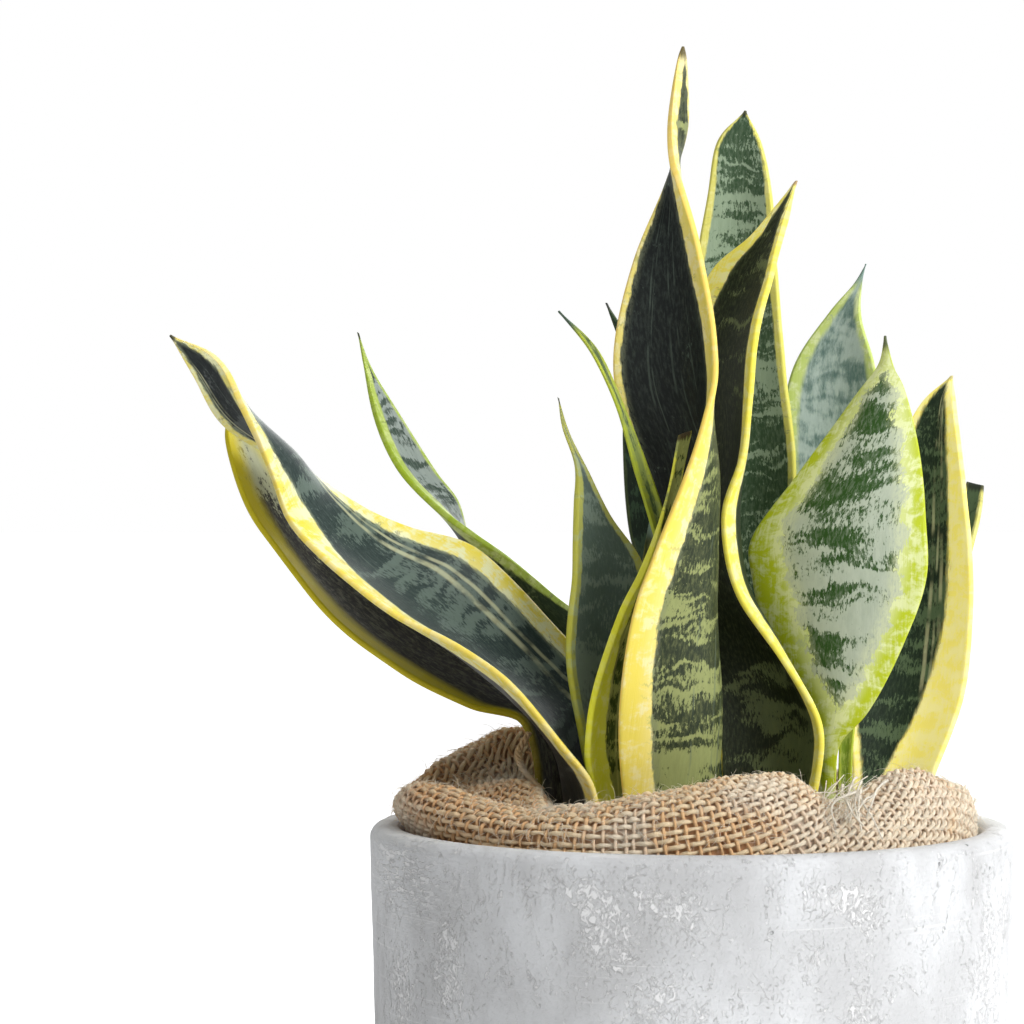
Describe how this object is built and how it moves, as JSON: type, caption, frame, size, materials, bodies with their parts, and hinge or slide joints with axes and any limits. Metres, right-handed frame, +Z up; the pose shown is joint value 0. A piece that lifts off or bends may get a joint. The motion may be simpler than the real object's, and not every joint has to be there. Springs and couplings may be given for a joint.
{
  "type": "potted snake plant",
  "caption": "Variegated snake plant with upright, folded and twisted leaves in a round concrete pot, its soil covered by gathered hessian.",
  "frame": {"origin": "centre of the pot's flat underside", "axes": "+Z up along the pot's axis, -Y towards the front of the plant, +X to the right seen from the front"},
  "size_m": [0.1951, 0.1498, 0.318],
  "materials": {
    "concrete": "matte",
    "soil": "matte",
    "hessian": "matte",
    "leaf_dark": "satin",
    "leaf_light": "satin"
  },
  "bodies": {
    "root": {"concrete_pot": "concrete", "soil": "soil", "hessian_wrap": "hessian", "tall_front_leaf": "leaf_dark", "nested_front_leaf": "leaf_dark", "short_left_leaf": "leaf_dark", "sweeping_left_leaf": "leaf_dark", "low_left_leaf": "leaf_dark", "back_left_leaf": "leaf_dark", "rear_middle_leaf": "leaf_dark", "thin_arching_leaf": "leaf_dark", "young_shoot": "leaf_dark", "twisted_right_leaf": "leaf_dark", "tall_back_leaf": "leaf_dark", "broad_front_leaf": "leaf_light", "right_leaf": "leaf_dark", "right_shoot": "leaf_dark", "small_right_leaf": "leaf_dark", "back_right_leaf": "leaf_dark"}
  },
  "joints": []
}
